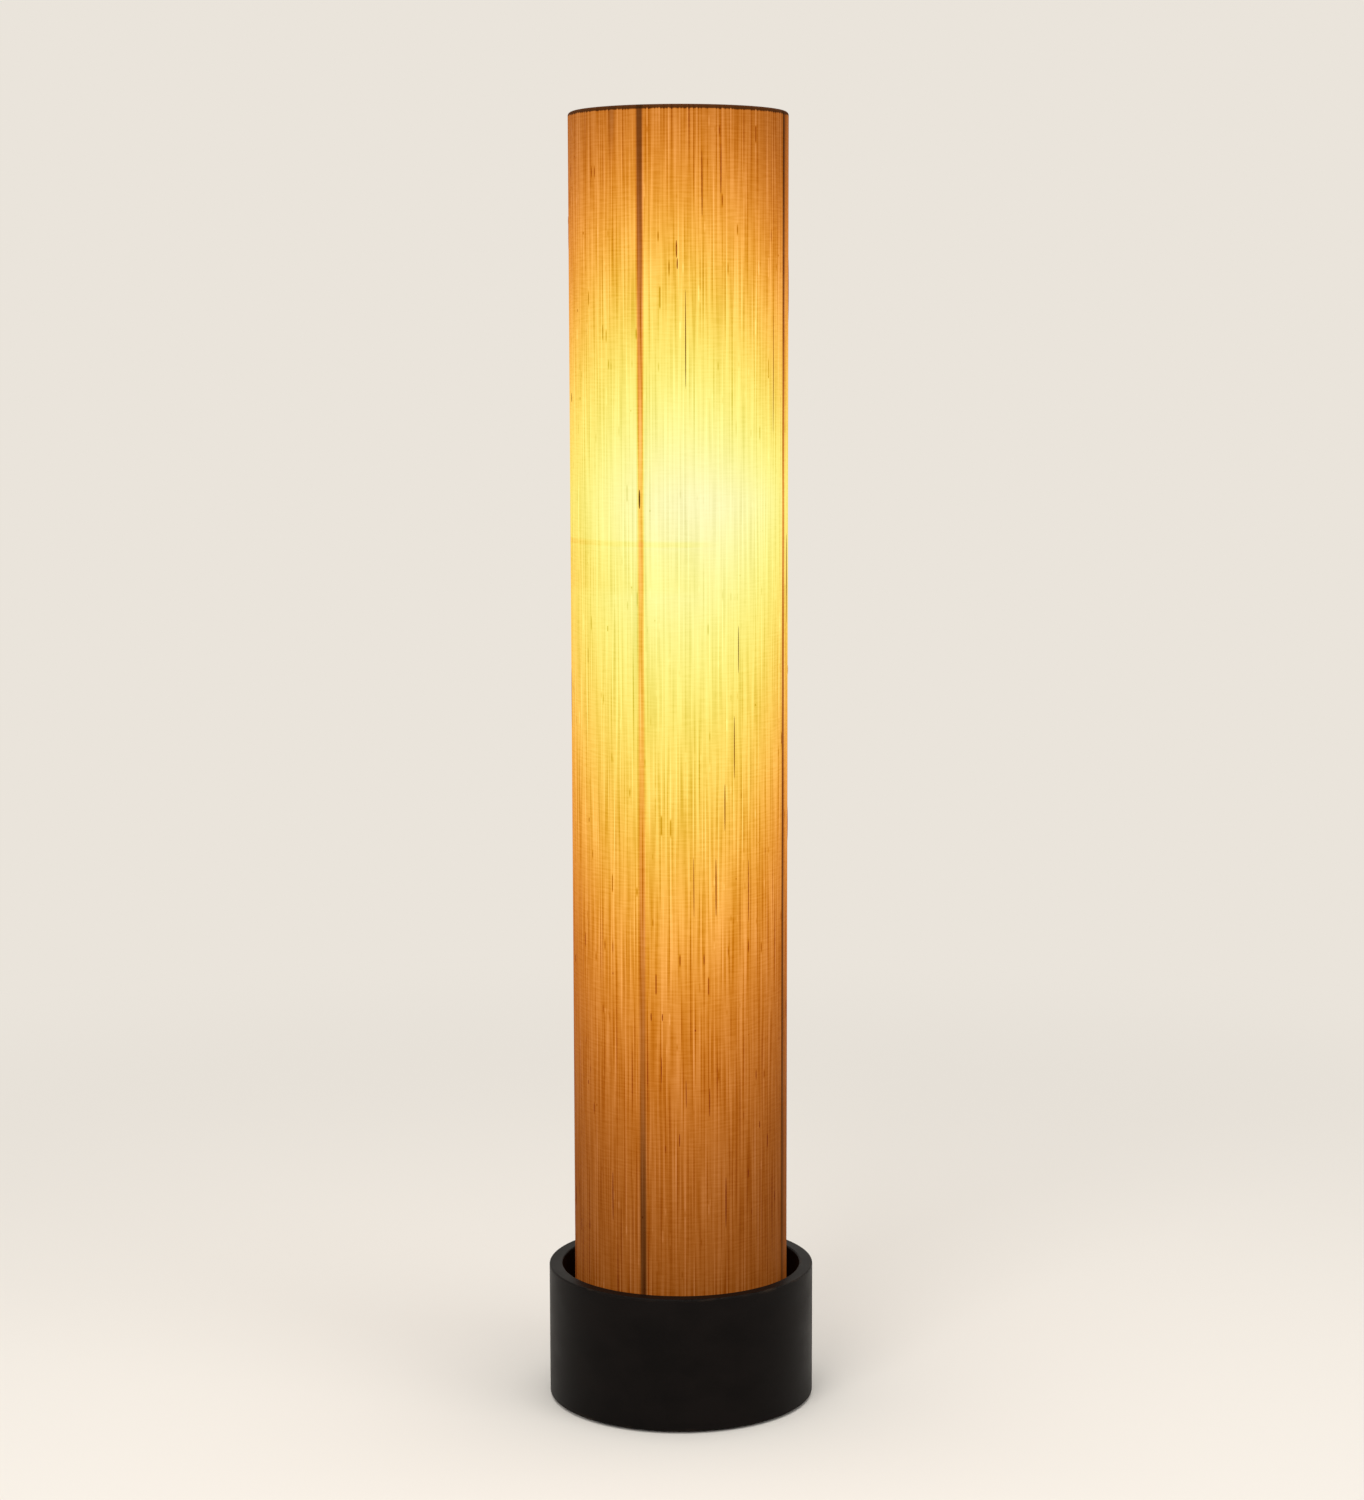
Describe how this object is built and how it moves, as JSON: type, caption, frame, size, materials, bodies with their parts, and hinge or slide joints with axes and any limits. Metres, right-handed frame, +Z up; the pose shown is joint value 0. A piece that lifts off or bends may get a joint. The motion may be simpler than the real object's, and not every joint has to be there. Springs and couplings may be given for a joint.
{
  "type": "column floor lamp",
  "caption": "Tall round column lamp: a slub fabric tube on a wire frame standing in a thick black ring base, lit by a bulb on an inner stem.",
  "frame": {"origin": "on the floor, under the middle of the ring base", "axes": "+Z up along the column; -Y is the front, where the picture was taken from; the cord inlet is at the back, +Y; +X is right seen from the front"},
  "size_m": [0.254, 0.254, 1.22],
  "materials": {
    "black_wood": "black satin lacquer",
    "plywood": "raw birch plywood",
    "hardboard": "raw hardboard",
    "block_wood": "raw hardwood",
    "zinc_screws": "zinc plated",
    "black_screws": "black zinc plated",
    "black_steel": "black powder coat",
    "plated_nipple": "plain turned brass",
    "brass_fittings": "plain brass",
    "bronze_contact": "phosphor bronze",
    "foot_rubber": "matt",
    "grommet_rubber": "matt",
    "terminal_plastic": "moulded",
    "holder_plastic": "moulded black",
    "porcelain": "white glazed",
    "lead_sheath": "white flexible",
    "core_sheath": "brown flexible",
    "frosted_glass": "frosted, lit",
    "clear_glass": "clear",
    "filament_coating": "yellow coated",
    "support_wire": "bright drawn",
    "bulb_cap_metal": "rolled bright",
    "bulb_insulator_glass": "black glass",
    "solder": "dull solder",
    "shade_fabric": "slub woven, translucent, lit from inside",
    "liner_film": "translucent film",
    "frame_wire": "white powder coat"
  },
  "bodies": {
    "base": {"base_ring": "black_wood", "floor_board": "plywood", "board_screws": "zinc_screws", "bottom_cover": "hardboard", "cover_screws": "zinc_screws", "foot_pads": "foot_rubber", "cord_grommet": "grommet_rubber", "terminal_block": "terminal_plastic", "terminal_tubes": "brass_fittings", "terminal_screws": "zinc_screws", "terminal_fixing_screw": "zinc_screws", "stem_flange": "black_steel", "flange_screws": "black_screws", "lower_nipple": "plated_nipple", "lower_washer": "zinc_screws", "lower_locknut": "plated_nipple", "stem_tube": "black_steel", "stem_set_screw": "black_screws", "upper_nipple": "plated_nipple", "holder_cap": "holder_plastic", "holder_shell": "holder_plastic", "holder_insulator": "porcelain", "holder_screw_shell": "plated_nipple", "holder_contact": "bronze_contact", "holder_terminal_screws": "brass_fittings", "internal_lead": "lead_sheath", "lead_cores": "core_sheath", "locating_blocks": "block_wood", "block_screws": "zinc_screws"},
    "bulb": {"bulb_globe": "frosted_glass", "bulb_mount": "clear_glass", "bulb_filaments": "filament_coating", "bulb_wires": "support_wire", "bulb_cap": "bulb_cap_metal", "bulb_insulator": "bulb_insulator_glass", "bulb_contact": "solder"},
    "shade": {"shade_fabric": "shade_fabric", "shade_liner": "liner_film", "top_ring": "frame_wire", "mid_ring": "frame_wire", "bottom_ring": "frame_wire", "upright_front": "frame_wire", "upright_right": "frame_wire", "upright_rear": "frame_wire"}
  },
  "joints": [
    {"name": "shade_lift", "type": "slide", "parent": "base", "child": "shade", "axis": [0, 0, 1], "range_m": [0, 0.9]},
    {"name": "bulb_out", "type": "slide", "parent": "base", "child": "bulb", "axis": [0, 0, 1], "range_m": [0, 0.46]}
  ]
}
